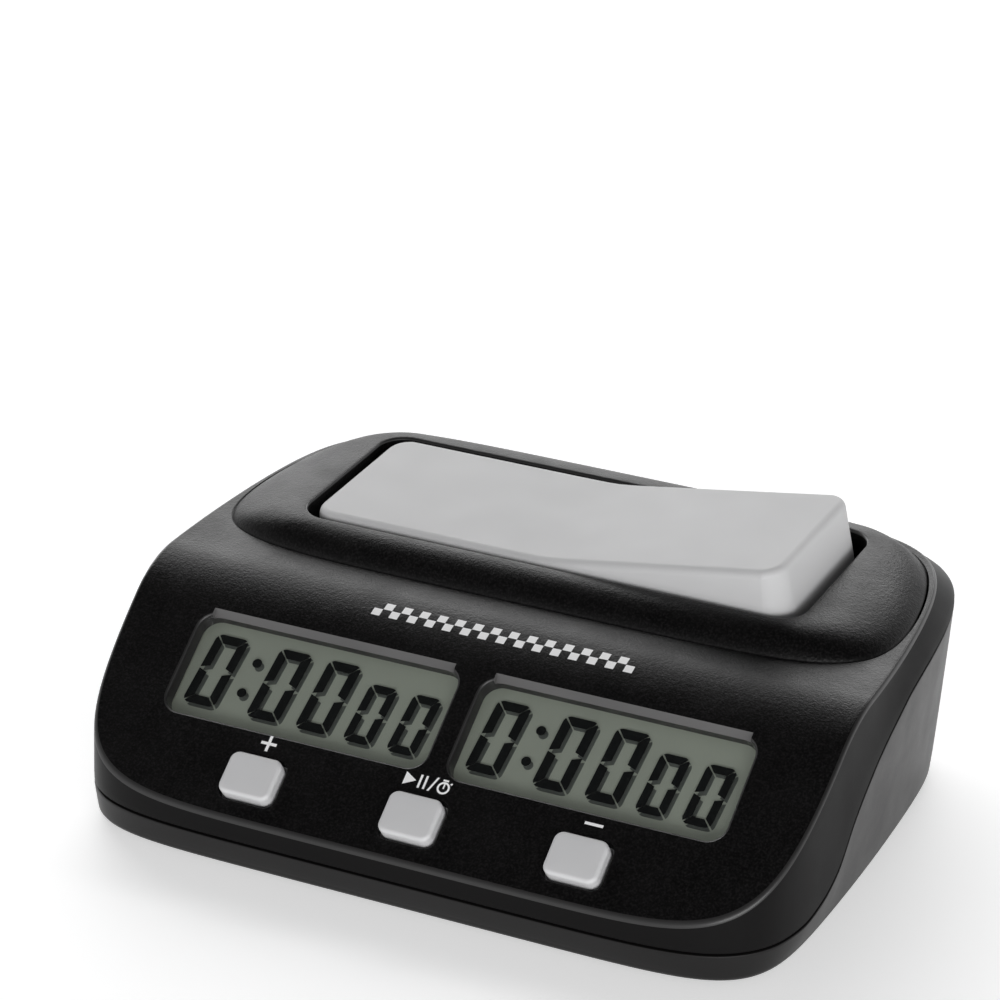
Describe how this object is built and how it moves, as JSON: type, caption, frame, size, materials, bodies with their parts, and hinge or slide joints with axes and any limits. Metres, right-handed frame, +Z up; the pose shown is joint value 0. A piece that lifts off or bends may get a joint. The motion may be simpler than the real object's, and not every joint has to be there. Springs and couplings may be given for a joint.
{
  "type": "digital chess clock",
  "caption": "Black wedge-shaped digital chess clock with a long grey rocker in a raised bezel, paired seven-segment displays behind windows and square grey keys along the front.",
  "frame": {"origin": "middle of the footprint, on the surface the rubber feet stand on", "axes": "+X to the right as the players' side is faced, +Y to the back, +Z up"},
  "size_m": [0.1498, 0.1159, 0.0521],
  "materials": {
    "top_shell": "fine spark-textured black ABS",
    "bottom_shell": "satin charcoal ABS",
    "rocker_grey": "satin light grey ABS",
    "key_grey": "satin light grey ABS",
    "black_plastic": "moulded",
    "rubber": "matt",
    "silicone": "matt",
    "zebra_rubber": "layered silicone",
    "lens_clear": "clear acrylic",
    "lcd_glass": "reflective display glass",
    "holder_white": "moulded",
    "board_green": "solder mask",
    "epoxy_black": "epoxy",
    "capacitor_sleeve": "sleeve",
    "switch_metal": "plated",
    "steel": "plain",
    "nickel": "nickel plated",
    "brass": "plain",
    "cell_jacket": "printed sleeve",
    "wire_red": "insulation",
    "wire_black": "insulation",
    "wire_grey": "insulation"
  },
  "bodies": {
    "case": {"top_cover": "top_shell", "bottom_cover": "bottom_shell", "rubber_feet": "rubber", "rocker_pivot_pin": "steel", "rocker_bumpers": "rubber", "rocker_switch_board": "board_green", "rocker_switch_body": "switch_metal", "switch_board_screws": "steel", "button_membrane": "silicone", "display_lens_left": "lens_clear", "display_lens_right": "lens_clear", "lcd_left": "lcd_glass", "lcd_right": "lcd_glass", "display_holder": "holder_white", "zebra_strips": "zebra_rubber", "main_circuit_board": "board_green", "controller_chip": "epoxy_black", "timing_crystal": "switch_metal", "capacitors": "capacitor_sleeve", "chip_resistors": "epoxy_black", "board_screws": "steel", "battery_cell": "cell_jacket", "battery_spring": "nickel", "battery_contact": "nickel", "battery_leads": "wire_red", "power_switch_body": "switch_metal", "buzzer_disc": "brass", "buzzer_leads": "wire_black", "switch_leads": "wire_grey", "case_screws": "steel"},
    "rocker": {"rocker_lever": "rocker_grey"},
    "rocker_switch_slider": {"rocker_switch_knob": "black_plastic"},
    "plus_key": {"button_plus": "key_grey"},
    "start_key": {"button_start": "key_grey"},
    "minus_key": {"button_minus": "key_grey"},
    "power_slider": {"power_switch_knob": "black_plastic"},
    "door": {"battery_door": "bottom_shell"}
  },
  "joints": [
    {"name": "rocker_tilt", "type": "hinge", "parent": "case", "child": "rocker", "pos_m": [0, 0.0233, 0.034], "axis": [0, 1, 0], "range_deg": [0, 9.3]},
    {"name": "rocker_switch_slide", "type": "slide", "parent": "case", "child": "rocker_switch_slider", "axis": [-1, 0, 0], "range_m": [0, 0.0019]},
    {"name": "plus_press", "type": "slide", "parent": "case", "child": "plus_key", "axis": [0, 0.5678, -0.8231], "range_m": [0, 0.0012], "stiffness_N_per_m": 300, "springref_m": -0.0005},
    {"name": "start_press", "type": "slide", "parent": "case", "child": "start_key", "axis": [0, 0.5678, -0.8231], "range_m": [0, 0.0012], "stiffness_N_per_m": 300, "springref_m": -0.0005},
    {"name": "minus_press", "type": "slide", "parent": "case", "child": "minus_key", "axis": [0, 0.5678, -0.8231], "range_m": [0, 0.0012], "stiffness_N_per_m": 300, "springref_m": -0.0005},
    {"name": "power_slide", "type": "slide", "parent": "case", "child": "power_slider", "axis": [1, 0, 0], "range_m": [0, 0.0042]},
    {"name": "battery_door_slide", "type": "slide", "parent": "case", "child": "door", "axis": [0, 1, 0], "range_m": [0, 0.008]}
  ],
  "couplings": [
    {"joint": "rocker_switch_slide", "follows": "rocker_tilt", "m_per_rad": 0.0115}
  ]
}
